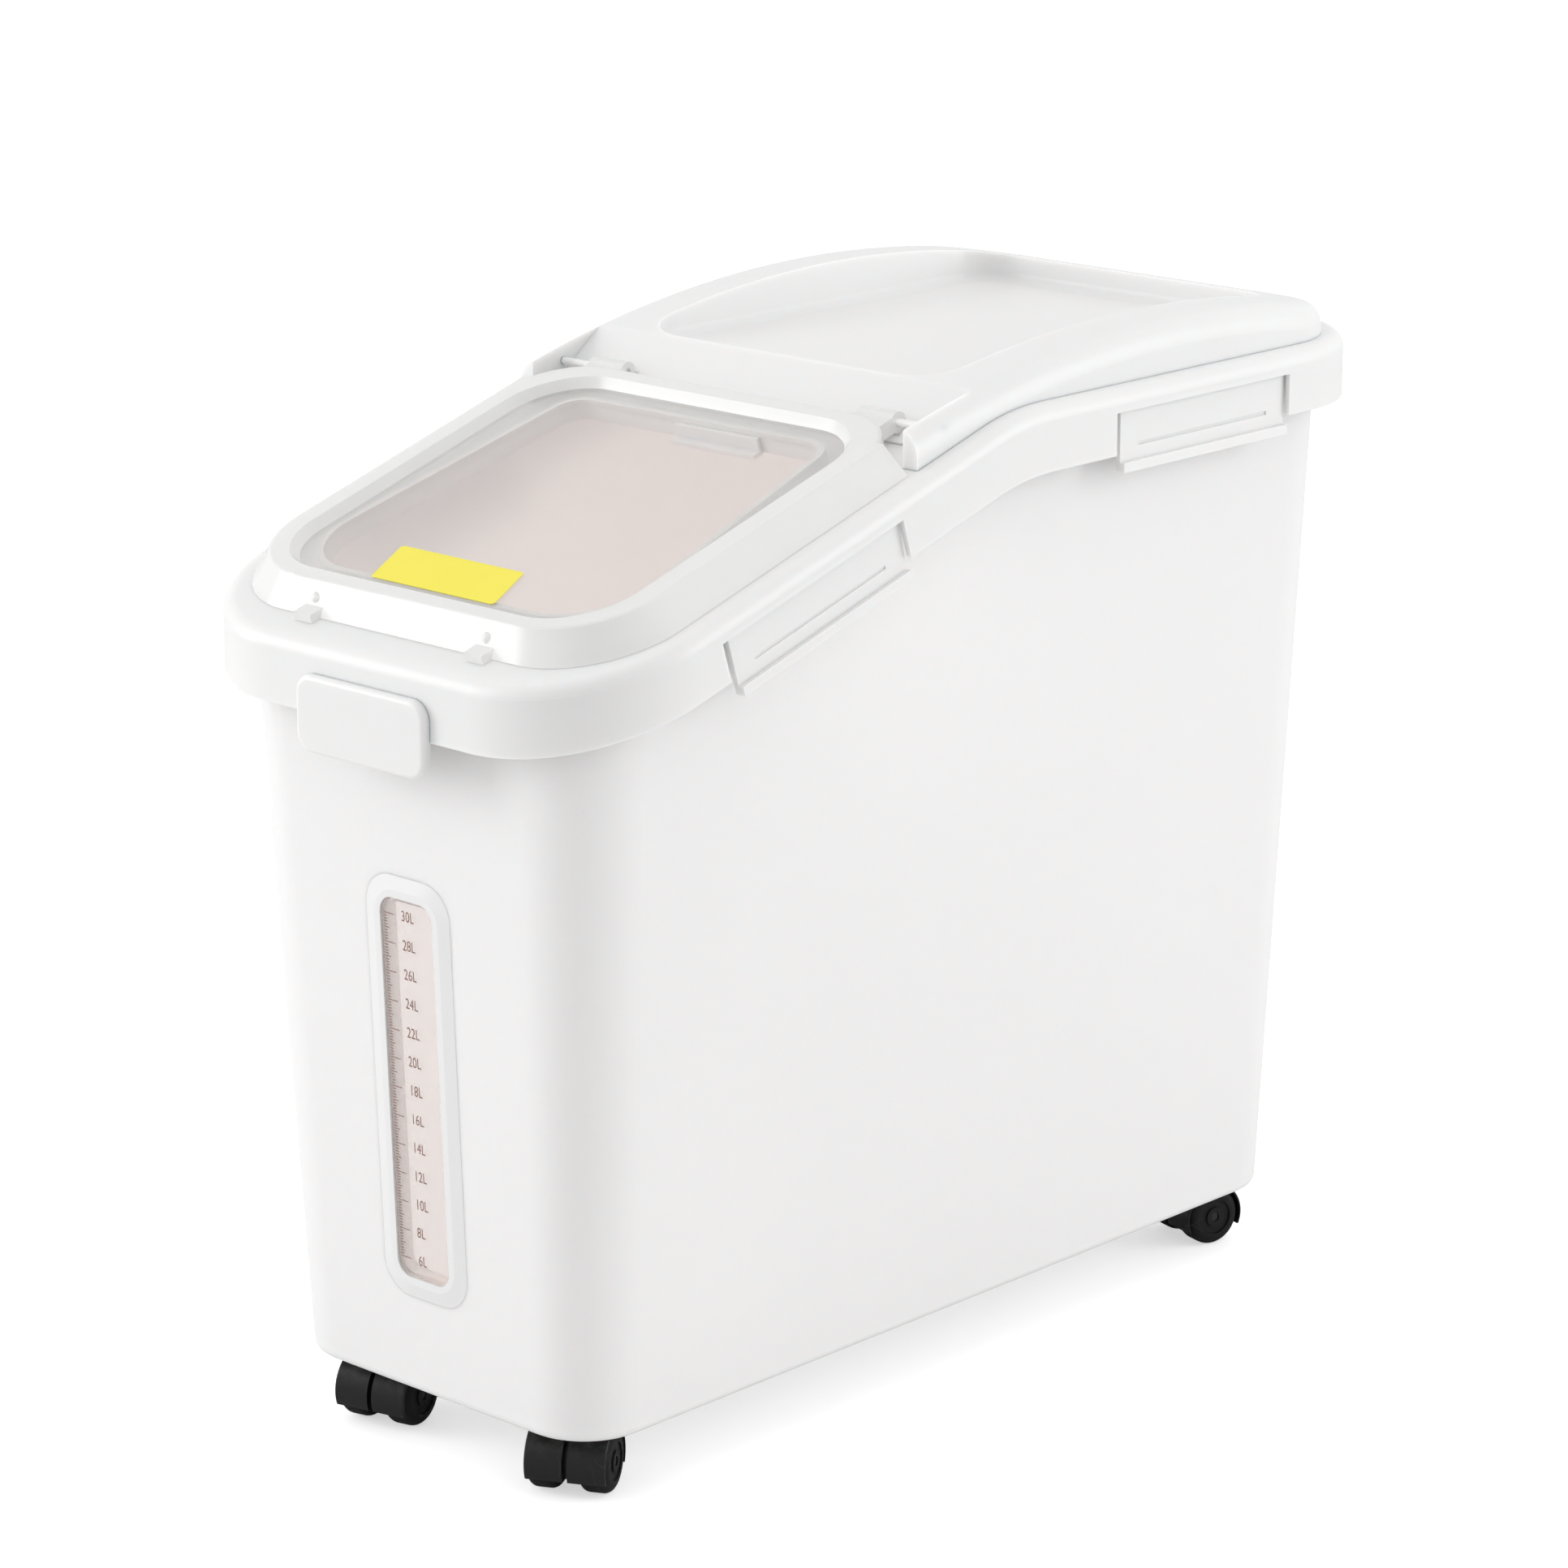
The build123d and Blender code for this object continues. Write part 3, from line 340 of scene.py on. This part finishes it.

# %% [markdown]
# ## Clear mouldings
# The flap and the window pane are clear styrene acrylonitrile: glossy, slightly hazy, and marked by fine wipe
# scratches. Rough glass gives the bright edges of a thick clear moulding, and a share of white gives its haze.
# The drawn walls of the flap are hazier than its panel, where the mould is polished, and the flange behind
# the pane is frosted, with a warm tint painted on it: painted light for the warm inside seen through it.
# Shadow rays pass straight through, so lamps reach the inside of the bin as they do behind real clear plastic.

# %% Clear plastic
def clear_plastic(name, tint, clearness, roughness, scuffs):
    material = bpy.data.materials.new(name)
    material.use_nodes = True
    tree = material.node_tree
    shader = tree.nodes["Principled BSDF"]
    place = tree.nodes.new("ShaderNodeTexCoord").outputs
    worn = add_node(
        tree,
        "ShaderNodeGroup",
        {"Vector": place["Object"], "Scuffs per Metre": 90.0, "Amount": scuffs},
        node_tree=handling_scuffs,
    )
    grain = add_node(
        tree,
        "ShaderNodeGroup",
        {"Vector": place["Object"], "Grain per Metre": 700.0, "Clouds per Metre": 30.0},
        node_tree=mould_grain,
    )
    haze = add_node(
        tree,
        "ShaderNodeMapRange",
        {"Value": grain.outputs["Tone"], "To Min": roughness * 0.7, "To Max": roughness * 1.3},
    )
    wiped = add_node(tree, "ShaderNodeMath", {0: worn.outputs["Mask"], 1: haze.outputs[0]}, operation="ADD")
    tree.links.new(wiped.outputs[0], shader.inputs["Roughness"])
    shade = tuple(channel * 0.97 for channel in tint)
    tree.links.new(mix_colours(tree, grain.outputs["Tone"], shade, tint), shader.inputs["Base Color"])
    bump = add_node(tree, "ShaderNodeBump", {"Height": grain.outputs["Height"], "Distance": 0.000012})
    tree.links.new(bump.outputs["Normal"], shader.inputs["Normal"])
    shader.inputs["Transmission Weight"].default_value = clearness
    shader.inputs["IOR"].default_value = 1.45
    lamp_ray = tree.nodes.new("ShaderNodeLightPath").outputs["Is Shadow Ray"]
    through = add_node(tree, "ShaderNodeBsdfTransparent", {"Color": (0.92, 0.91, 0.9, 1.0)})
    either = add_node(
        tree, "ShaderNodeMixShader", {0: lamp_ray, 1: shader.outputs[0], 2: through.outputs[0]}
    )
    tree.links.new(either.outputs[0], tree.nodes["Material Output"].inputs["Surface"])
    return material


flap_clear = clear_plastic("flap_clear", (0.99, 0.985, 0.98), clearness=0.9, roughness=0.04, scuffs=0.1)
flap_haze = clear_plastic("flap_haze", (0.9, 0.9, 0.895), clearness=0.26, roughness=0.2, scuffs=0.02)
pane_clear = clear_plastic("pane_clear", (1.0, 0.99, 0.985), clearness=0.72, roughness=0.04, scuffs=0.08)
# The flange's warm tint is painted light: it stands in for the warm inside of the bin seen through the frosted
# flange.
pane_flange_painted_warmth = clear_plastic("pane_flange_painted_warmth", (0.98, 0.83, 0.76), clearness=0.28, roughness=0.3, scuffs=0.05)
print("clear finishes:", [m.name for m in (flap_clear, flap_haze, pane_clear, pane_flange_painted_warmth)])

# %% [markdown]
# ## Steel, rubber, print and label film
# Stems and screws are drawn steel with fine lines along the drawing direction, and the axles are blackened
# steel, so their ends hardly show in the black wheels. The seal is soft grey-white silicone. The scale on the
# window is a thin brown screen print, and the label on the flap is a plain yellow film. Each is a short
# material of its own, with noise at its own scale.

# %% Drawn steel, bright and blackened
def drawn_steel(name, light, shade):
    material = bpy.data.materials.new(name)
    material.use_nodes = True
    tree = material.node_tree
    shader = tree.nodes["Principled BSDF"]
    place = tree.nodes.new("ShaderNodeTexCoord").outputs
    stretched = add_node(tree, "ShaderNodeMapping", {"Vector": place["Object"], "Scale": (60.0, 3000.0, 3000.0)})
    drawn = add_node(tree, "ShaderNodeTexNoise", {"Vector": stretched.outputs[0], "Scale": 1.0, "Detail": 3.0})
    tree.links.new(mix_colours(tree, drawn.outputs[0], shade, light), shader.inputs["Base Color"])
    sheen = add_node(tree, "ShaderNodeMapRange", {"Value": drawn.outputs[0], "To Min": 0.2, "To Max": 0.42})
    tree.links.new(sheen.outputs[0], shader.inputs["Roughness"])
    bump = add_node(tree, "ShaderNodeBump", {"Height": drawn.outputs[0], "Distance": 0.00002})
    tree.links.new(bump.outputs["Normal"], shader.inputs["Normal"])
    shader.inputs["Metallic"].default_value = 1.0
    return material


steel = drawn_steel("drawn_steel", (0.68, 0.68, 0.67), (0.48, 0.48, 0.49))
blackened_steel = drawn_steel("blackened_steel", (0.06, 0.06, 0.062), (0.03, 0.03, 0.032))

# %% Silicone seal, brown print and label film
def soft_finish(name, light, shade, roughness, grain_per_metre, grain_depth):
    material = bpy.data.materials.new(name)
    material.use_nodes = True
    tree = material.node_tree
    shader = tree.nodes["Principled BSDF"]
    place = tree.nodes.new("ShaderNodeTexCoord").outputs
    grain = add_node(
        tree,
        "ShaderNodeGroup",
        {"Vector": place["Object"], "Grain per Metre": grain_per_metre, "Clouds per Metre": 45.0},
        node_tree=mould_grain,
    )
    tree.links.new(mix_colours(tree, grain.outputs["Tone"], shade, light), shader.inputs["Base Color"])
    spread = add_node(
        tree,
        "ShaderNodeMapRange",
        {"Value": grain.outputs["Height"], "To Min": roughness - 0.08, "To Max": roughness + 0.08},
    )
    tree.links.new(spread.outputs[0], shader.inputs["Roughness"])
    bump = add_node(tree, "ShaderNodeBump", {"Height": grain.outputs["Height"], "Distance": grain_depth})
    tree.links.new(bump.outputs["Normal"], shader.inputs["Normal"])
    return material


seal_silicone = soft_finish("seal_silicone", (0.8, 0.79, 0.775), (0.74, 0.73, 0.715), 0.55, 900.0, 0.00005)
scale_print = soft_finish("scale_print", (0.26, 0.13, 0.1), (0.19, 0.09, 0.07), 0.5, 4000.0, 0.00001)
label_film = soft_finish("label_film", (0.9, 0.8, 0.06), (0.87, 0.76, 0.045), 0.34, 2600.0, 0.00002)
print("other finishes:", [m.name for m in (steel, blackened_steel, seal_silicone, scale_print, label_film)])

# %% [markdown]
# ## Dressing the solids
# The record names a material slot for every node, so one table from slot to finish dresses the whole model.
# Three nodes then get a second finish on some of their faces. The inside of the tub is painted lighter and warmer
# than its outside: painted light for the light that comes in through the walls and the flap. Its faces are the
# ones that look towards the middle of the tub. The flap's drawn walls are hazier than its panel, whose faces lie
# flat on the slope. The pane's flange is frosted, and its faces stand square to the wall. Every face keeps its
# mesh, and only its material changes.

# %% From slot to finish
finish_of_slot = {
    "tub_plastic": tub_white,
    "lid_plastic": lid_white,
    "clear_plastic": flap_clear,
    "seal_rubber": seal_silicone,
    "label_film": label_film,
    "steel": steel,
    "caster_plastic": caster_black,
    "wheel_plastic": wheel_black,
}
for entry in frame["record"]["subparts"]:
    mesh = nodes[entry["node"]].data
    mesh.materials.clear()
    mesh.materials.append(finish_of_slot[entry["material_slot"]])
nodes["window_pane"].data.materials[0] = pane_clear
nodes["window_frame"].data.materials[0] = frame_white
for name in nodes:
    if name.endswith("caster_axle"):
        nodes[name].data.materials[0] = blackened_steel

# %% The inside of the tub, painted lighter and warmer
tub_low, tub_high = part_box("tub")
tub_middle = (tub_low + tub_high) / 2
half_width = (tub_high.x - tub_low.x) / 2
half_depth = (tub_high.y - tub_low.y) / 2
floor_zone = 0.026
tub_mesh = nodes["tub"].data
tub_mesh.materials.append(painted_light_tub_inside)
inner_faces = 0
for face in tub_mesh.polygons:
    place = face.center - tub_middle
    inwards = -face.normal.x * place.x / half_width**2 - face.normal.y * place.y / half_depth**2
    is_wall = abs(face.normal.z) < 0.5 and inwards > 0.0
    is_floor = face.normal.z > 0.3 and face.center.z < tub_low.z + floor_zone
    if is_wall or is_floor:
        face.material_index = 1
        inner_faces += 1
print("tub faces:", len(tub_mesh.polygons), "inside:", inner_faces)

# %% The hazier walls of the flap
slope = radians(17.0)
slope_up = Vector((0.0, -sin(slope), cos(slope)))
slope_bend = Vector((0.0, 0.003, 0.521))
panel_low = 0.0082
panel_high = 0.0113
flap_mesh = nodes["flap"].data
flap_mesh.materials.append(flap_haze)
panel_faces = 0
for face in flap_mesh.polygons:
    height = (face.center - slope_bend).dot(slope_up)
    is_flat = abs(face.normal.dot(slope_up)) > 0.99
    if is_flat and panel_low < height < panel_high:
        panel_faces += 1
    else:
        face.material_index = 1
print("flap faces:", len(flap_mesh.polygons), "panel:", panel_faces)

# %% The frosted flange of the pane
front_draft = radians(2.27)
wall_normal = Vector((0.0, -cos(front_draft), -sin(front_draft)))
wall_up = Vector((0.0, -sin(front_draft), cos(front_draft)))
pane_mesh = nodes["window_pane"].data
pane_mesh.materials.append(pane_flange_painted_warmth)
for face in pane_mesh.polygons:
    face.material_index = int(abs(face.normal.dot(wall_normal)) < 0.5)
print("flange faces:", sum(face.material_index for face in pane_mesh.polygons))

# %% [markdown]
# ## The scale on the window
# The pane carries a litre scale: fine marks along its left edge, a longer one at every litre and the longest
# at every second litre, where a number stands. The marks repeat, so Geometry Nodes lays them out: a line of
# points, a thin bar on each, and its length chosen from the mark's index. The numbers are text turned into
# mesh. Both lie just off the pane's outer face, which leans with the front wall.

# %% The plane of the pane
pane_low, pane_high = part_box("window_pane")
pane_face = max(vertex.co.dot(wall_normal) for vertex in pane_mesh.vertices)
print("pane:", [round(v, 4) for v in pane_low], [round(v, 4) for v in pane_high])


def on_pane(x, z, lift):
    """Matrix that puts a flat drawing on the pane, x across and z up, lifted off its face."""
    height = (z - wall_normal.z * (pane_face + lift)) / wall_up.z
    origin = Vector((x, 0.0, 0.0)) + wall_up * height + wall_normal * (pane_face + lift)
    turn = Matrix((Vector((1.0, 0.0, 0.0)), wall_up, wall_normal)).transposed().to_4x4()
    return Matrix.Translation(origin) @ turn


# %% A tree that lays out scale marks
scale_marks, given, wanted = new_group(
    "scale_marks",
    "GeometryNodeTree",
    [
        ("Marks", "NodeSocketInt", 10),
        ("Spacing", "NodeSocketFloat", 0.0015),
        ("Short Length", "NodeSocketFloat", 0.002),
        ("Litre Length", "NodeSocketFloat", 0.003),
        ("Number Length", "NodeSocketFloat", 0.006),
        ("Stroke", "NodeSocketFloat", 0.0003),
        ("Ink", "NodeSocketFloat", 0.00004),
        ("Finish", "NodeSocketMaterial", None),
    ],
    [("Geometry", "NodeSocketGeometry")],
)
step = add_node(scale_marks, "ShaderNodeCombineXYZ", {"Y": given["Spacing"]})
row = add_node(
    scale_marks, "GeometryNodeMeshLine", {"Count": given["Marks"], "Offset": step.outputs[0]}, mode="OFFSET"
)
bar = add_node(scale_marks, "GeometryNodeMeshCube", {"Size": (1.0, 1.0, 1.0)})
from_left = add_node(
    scale_marks, "GeometryNodeTransform", {"Geometry": bar.outputs["Mesh"], "Translation": (0.5, 0.0, 0.5)}
)
index = scale_marks.nodes.new("GeometryNodeInputIndex").outputs[0]


def every(count):
    rest = add_node(scale_marks, "ShaderNodeMath", {0: index, 1: float(count)}, operation="MODULO")
    return add_node(scale_marks, "ShaderNodeMath", {0: rest.outputs[0], 1: 0.5}, operation="LESS_THAN").outputs[0]


litre = add_node(
    scale_marks,
    "GeometryNodeSwitch",
    {"Switch": every(5), "False": given["Short Length"], "True": given["Litre Length"]},
    input_type="FLOAT",
)
length = add_node(
    scale_marks,
    "GeometryNodeSwitch",
    {"Switch": every(10), "False": litre.outputs[0], "True": given["Number Length"]},
    input_type="FLOAT",
)
bar_size = add_node(
    scale_marks, "ShaderNodeCombineXYZ", {"X": length.outputs[0], "Y": given["Stroke"], "Z": given["Ink"]}
)
placed = add_node(
    scale_marks,
    "GeometryNodeInstanceOnPoints",
    {"Points": row.outputs["Mesh"], "Instance": from_left.outputs[0], "Scale": bar_size.outputs[0]},
)
real = add_node(scale_marks, "GeometryNodeRealizeInstances", {"Geometry": placed.outputs[0]})
inked = add_node(
    scale_marks, "GeometryNodeSetMaterial", {"Geometry": real.outputs[0], "Material": given["Finish"]}
)
scale_marks.links.new(inked.outputs[0], wanted["Geometry"])

# %% From a tree to a plain mesh
def grown_mesh(name, tree, values):
    """Runs a geometry tree with these inputs and returns its result as an object with a plain mesh."""
    seed = bpy.data.objects.new(name + "_seed", bpy.data.meshes.new(name + "_seed"))
    bpy.context.scene.collection.objects.link(seed)
    modifier = seed.modifiers.new("tree", "NODES")
    modifier.node_group = tree
    for item in tree.interface.items_tree:
        if item.item_type == "SOCKET" and item.in_out == "INPUT" and item.name in values:
            modifier[item.identifier] = values[item.name]
    bpy.context.view_layer.update()
    graph = bpy.context.evaluated_depsgraph_get()
    mesh = bpy.data.meshes.new_from_object(seed.evaluated_get(graph), depsgraph=graph)
    mesh.name = name
    bpy.data.objects.remove(seed)
    piece = bpy.data.objects.new(name, mesh)
    bpy.context.scene.collection.objects.link(piece)
    return piece


# %% Marks along the pane's left edge
litre_rise = 0.00755
highest_litres = 30
highest_z = 0.291
lowest_litres = 6
lowest_z = highest_z - (highest_litres - lowest_litres) * litre_rise
scale_left = -0.0168
mark_spacing = litre_rise / 5
marks = grown_mesh(
    "scale_marks",
    scale_marks,
    {
        "Marks": (highest_litres - lowest_litres) * 5 + 1,
        "Spacing": mark_spacing,
        "Short Length": 0.0024,
        "Litre Length": 0.0036,
        "Number Length": 0.0072,
        "Stroke": 0.0004,
        "Ink": 0.00005,
        "Finish": scale_print,
    },
)
marks.data.transform(on_pane(scale_left, lowest_z, 0.00001))
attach(marks, "tub")
print("scale marks:", len(marks.data.polygons) // 6)

# %% Numbers beside every second litre
number_indent = 0.0125
number_height = 0.0078
number_width = 0.78
numbers = bmesh.new()
for litres in range(lowest_litres, highest_litres + 1, 2):
    words = bpy.data.curves.new("litres", "FONT")
    words.body = f"{litres}L"
    words.size = number_height
    words.align_x = "LEFT"
    words.align_y = "CENTER"
    words.extrude = 0.00002
    writing = bpy.data.objects.new("litres", words)
    bpy.context.scene.collection.objects.link(writing)
    bpy.context.view_layer.update()
    graph = bpy.context.evaluated_depsgraph_get()
    letters = bpy.data.meshes.new_from_object(writing.evaluated_get(graph), depsgraph=graph)
    narrow = Matrix.Diagonal((number_width, 1.0, 1.0, 1.0))
    level = highest_z - (highest_litres - litres) * litre_rise
    letters.transform(on_pane(scale_left + number_indent, level, 0.00003) @ narrow)
    numbers.from_mesh(letters)
    bpy.data.objects.remove(writing)
number_mesh = bpy.data.meshes.new("scale_numbers")
numbers.to_mesh(number_mesh)
numbers.free()
number_mesh.materials.clear()
number_mesh.materials.append(scale_print)
for face in number_mesh.polygons:
    face.material_index = 0
scale_numbers = bpy.data.objects.new("scale_numbers", number_mesh)
bpy.context.scene.collection.objects.link(scale_numbers)
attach(scale_numbers, "tub")
print("number faces:", len(number_mesh.polygons))

# %% [markdown]
# ## The studio
# The bin stands on a pale, faintly lit sweep of floor in front of white, as for a catalogue picture. Two big
# soft boxes stand left of the front and to the right, so both walls are bright and the rounded corner between
# them falls a little darker, which shows its shape. A weak one hangs over the lid. The sky is a soft fill, and
# it is pure white where the camera looks straight at it.

# %% Floor
floor_mesh = bpy.data.meshes.new("studio_floor")
reach = 6.0
floor_mesh.from_pydata(
    [(-reach, -reach, 0.0), (reach, -reach, 0.0), (reach, reach, 0.0), (-reach, reach, 0.0)], [], [(0, 1, 2, 3)]
)
floor = bpy.data.objects.new("studio_floor", floor_mesh)
bpy.context.scene.collection.objects.link(floor)
pale = bpy.data.materials.new("pale_floor")
pale.use_nodes = True
tree = pale.node_tree
shader = tree.nodes["Principled BSDF"]
place = tree.nodes.new("ShaderNodeTexCoord").outputs
mottle = add_node(tree, "ShaderNodeTexNoise", {"Vector": place["Object"], "Scale": 1.5, "Detail": 3.0})
tree.links.new(
    mix_colours(tree, mottle.outputs[0], (0.74, 0.74, 0.74), (0.76, 0.76, 0.76)), shader.inputs["Base Color"]
)
shader.inputs["Roughness"].default_value = 0.8
shader.inputs["Emission Color"].default_value = (1.0, 1.0, 1.0, 1.0)
seen = tree.nodes.new("ShaderNodeLightPath").outputs["Is Camera Ray"]
floor_glow = 0.55
glow = add_node(tree, "ShaderNodeMath", {0: seen, 1: floor_glow}, operation="MULTIPLY")
tree.links.new(glow.outputs[0], shader.inputs["Emission Strength"])
floor_mesh.materials.append(pale)

# %% Sky and soft boxes
world = bpy.data.worlds.new("studio_sky")
bpy.context.scene.world = world
world.use_nodes = True
tree = world.node_tree
sky = tree.nodes["Background"]
sky.inputs["Color"].default_value = (1.0, 1.0, 1.0, 1.0)
seen = tree.nodes.new("ShaderNodeLightPath").outputs["Is Camera Ray"]
fill_strength = 0.82
strength = add_node(tree, "ShaderNodeMapRange", {"Value": seen, "To Min": fill_strength, "To Max": 1.0})
tree.links.new(strength.outputs[0], sky.inputs["Strength"])


def soft_box(name, place, aim, width, height, power):
    light = bpy.data.lights.new(name, "AREA")
    light.shape = "RECTANGLE"
    light.size = width
    light.size_y = height
    light.energy = power
    box = bpy.data.objects.new(name, light)
    box.location = place
    box.rotation_euler = (Vector(aim) - Vector(place)).to_track_quat("-Z", "Y").to_euler()
    bpy.context.scene.collection.objects.link(box)
    return box


bin_middle = (0.0, 0.0, 0.3)
soft_box("front_left_box", (-2.4, -2.1, 1.2), bin_middle, width=1.6, height=2.0, power=42.0)
soft_box("right_back_box", (2.5, 1.9, 1.2), bin_middle, width=1.6, height=2.0, power=30.0)
soft_box("top_box", (0.2, 0.3, 2.8), bin_middle, width=2.2, height=2.2, power=7.0)
print("soft boxes:", [light.name for light in bpy.data.lights])

# %% [markdown]
# ## The camera
# The photograph's viewpoint was worked out from the straight edges of the tub: it stands to the right of the
# front, a little above the lid, with a long lens. The picture is square, so one focal length in pixels gives
# the lens for a sensor of the usual width.

# %% Camera
picture_width = 1932.0
focal_pixels = 6494.3
turn = radians(43.021)
rise = radians(15.547)
distance = 2.7691
back = Vector((sin(turn) * cos(rise), -cos(turn) * cos(rise), sin(rise)))
right = Vector((cos(turn), sin(turn), 0.0))
aim_shift = -0.010978
aim = right * aim_shift + Vector((0.0, 0.003, 0.30071))
camera_data = bpy.data.cameras.new("photo_camera")
camera_data.sensor_width = 36.0
camera_data.lens = focal_pixels / picture_width * camera_data.sensor_width
camera_data.clip_start = 0.05
camera_data.clip_end = 60.0
camera = bpy.data.objects.new("photo_camera", camera_data)
camera.location = aim + back * distance
camera.rotation_euler = back.to_track_quat("Z", "Y").to_euler()
bpy.context.scene.collection.objects.link(camera)
bpy.context.scene.camera = camera
bpy.context.scene.view_settings.view_transform = "Standard"
print("lens:", round(camera_data.lens, 1), "camera at", [round(v, 3) for v in camera.location])
